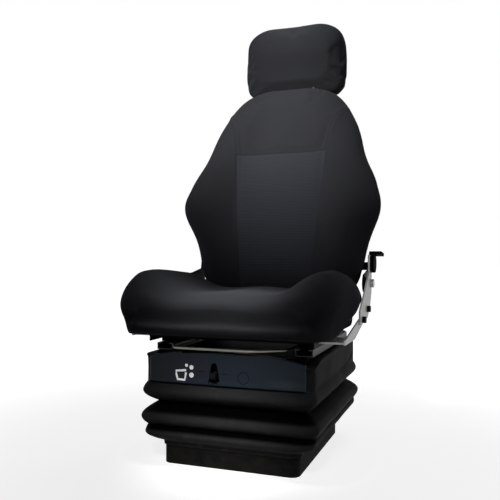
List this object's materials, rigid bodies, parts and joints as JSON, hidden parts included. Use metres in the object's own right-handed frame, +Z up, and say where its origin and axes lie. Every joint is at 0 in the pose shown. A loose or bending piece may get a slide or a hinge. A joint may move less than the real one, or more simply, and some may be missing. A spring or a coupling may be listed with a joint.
{
  "type": "air suspension seat",
  "caption": "Upholstered vehicle seat with headrest and reclining back, on fore and aft slides over a scissor air suspension inside a rubber bellows.",
  "frame": {"origin": "centre of the four mounting bolts, on the underside of the base", "axes": "+Z up, -Y the way the seat faces, +X the occupant's left"},
  "size_m": [0.5806, 0.688, 1.179],
  "materials": {
    "base_coat": "rough black coating",
    "black_steel": "satin black paint",
    "zinc": "zinc plated steel",
    "steel": "bright steel",
    "dark_bolts": "black oxide",
    "chrome_posts": "chrome plated",
    "damper_body": "gloss black paint",
    "rubber": "satin rubber",
    "roller_plastic": "nylon",
    "gloss_fascia": "glossy moulded plastic",
    "black_plastic": "moulded plastic",
    "seat_fabric": "woven upholstery fabric"
  },
  "bodies": {
    "base": {"base_tray": "base_coat", "lower_channel_left": "black_steel", "lower_channel_right": "black_steel", "lower_pivot_bracket_left": "black_steel", "lower_pivot_bracket_right": "black_steel", "end_stops": "rubber", "air_spring_lower_plate": "zinc", "air_spring_bag": "rubber", "damper_tube": "damper_body", "damper_saddles": "black_steel", "bellows": "rubber"},
    "outer_arms": {"outer_arm_left": "zinc", "outer_arm_right": "zinc", "lower_rear_shaft": "steel", "upper_front_shaft": "steel", "centre_pins": "steel", "damper_crank": "zinc"},
    "inner_arms": {"inner_arm_left": "zinc", "inner_arm_right": "zinc", "lower_front_shaft": "steel", "upper_rear_shaft": "steel"},
    "lower_roller_pair": {"lower_rollers": "roller_plastic"},
    "upper_roller_pair": {"upper_rollers": "roller_plastic"},
    "damper_piston": {"damper_rod": "steel"},
    "housing": {"upper_housing": "black_steel", "upper_channel_left": "black_steel", "upper_channel_right": "black_steel", "upper_pivot_bracket_left": "black_steel", "upper_pivot_bracket_right": "black_steel", "lower_slide_rail_left": "zinc", "lower_slide_rail_right": "zinc", "spring_bridge": "black_steel", "air_spring_upper_plate": "zinc", "air_compressor": "black_plastic", "fascia_panel": "gloss_fascia", "air_valve": "black_plastic"},
    "valve_lever": {"height_lever": "black_plastic"},
    "seat_frame": {"upper_slide_rail_left": "zinc", "upper_slide_rail_right": "zinc", "seat_pan": "black_steel", "seat_cushion": "seat_fabric", "side_bracket_left": "zinc", "side_bracket_right": "zinc", "recliner_plate_left": "zinc", "recliner_plate_right": "zinc", "recliner_pin_left": "steel", "recliner_pin_right": "steel", "plate_bolts": "dark_bolts"},
    "slide_release": {"release_bar": "steel"},
    "recline_release": {"recline_lever": "black_plastic"},
    "backrest": {"back_frame": "black_steel", "back_shell": "black_plastic", "back_cushion": "seat_fabric", "post_guides": "black_plastic", "recliner_arm_left": "black_steel", "recliner_arm_right": "black_steel"},
    "headrest": {"headrest_posts": "chrome_posts", "headrest_cushion": "seat_fabric"}
  },
  "joints": [
    {"name": "suspension_lift", "type": "slide", "parent": "base", "child": "housing", "axis": [0, 0, 1], "range_m": [0, 0.08], "deforming": ["bellows", "air_spring_bag"]},
    {"name": "outer_arm_swing", "type": "hinge", "parent": "base", "child": "outer_arms", "pos_m": [0, 0.15, 0.017], "axis": [-1, 0, 0], "range_deg": [-1, 17.18]},
    {"name": "inner_arm_swing", "type": "hinge", "parent": "outer_arms", "child": "inner_arms", "pos_m": [0, -0.0025, 0.08], "axis": [1, 0, 0], "range_deg": [-1, 33.36]},
    {"name": "lower_roller_turn", "type": "hinge", "parent": "inner_arms", "child": "lower_roller_pair", "pos_m": [0, -0.155, 0.017], "axis": [-1, 0, 0], "range_deg": [-2, 264]},
    {"name": "upper_roller_turn", "type": "hinge", "parent": "outer_arms", "child": "upper_roller_pair", "pos_m": [0, -0.155, 0.143], "axis": [1, 0, 0], "range_deg": [-2, 264]},
    {"name": "damper_stroke", "type": "slide", "parent": "base", "child": "damper_piston", "axis": [0, 1, 0], "range_m": [-0.001, 0.01648]},
    {"name": "height_lever_rock", "type": "hinge", "parent": "housing", "child": "valve_lever", "pos_m": [-0.023, -0.192, 0.2125], "axis": [1, 0, 0], "range_deg": [-8, 8], "stiffness_Nm_per_rad": 0.4},
    {"name": "seat_slide", "type": "slide", "parent": "housing", "child": "seat_frame", "axis": [0, -1, 0], "range_m": [-0.075, 0.075]},
    {"name": "release_bar_lift", "type": "hinge", "parent": "seat_frame", "child": "slide_release", "pos_m": [0, -0.06, 0.271], "axis": [-1, 0, 0], "range_deg": [0, 5], "stiffness_Nm_per_rad": 6, "springref_deg": -2.86},
    {"name": "back_recline", "type": "hinge", "parent": "seat_frame", "child": "backrest", "pos_m": [0, 0.14, 0.405], "axis": [1, 0, 0], "range_deg": [-30, 50]},
    {"name": "recline_lever_lift", "type": "hinge", "parent": "seat_frame", "child": "recline_release", "pos_m": [0.258, 0.146, 0.456], "axis": [-1, 0, 0], "range_deg": [0, 25], "stiffness_Nm_per_rad": 0.8, "springref_deg": -11.46},
    {"name": "headrest_height", "type": "slide", "parent": "backrest", "child": "headrest", "axis": [0, 0.2079, 0.9781], "range_m": [0, 0.06]}
  ],
  "couplings": [
    {"joint": "outer_arm_swing", "follows": "suspension_lift", "rad_per_m": 3.53},
    {"joint": "inner_arm_swing", "follows": "suspension_lift", "rad_per_m": 7.06},
    {"joint": "lower_roller_turn", "follows": "suspension_lift", "rad_per_m": 57.158},
    {"joint": "upper_roller_turn", "follows": "suspension_lift", "rad_per_m": 57.158},
    {"joint": "damper_stroke", "follows": "suspension_lift", "ratio": 0.19351}
  ]
}
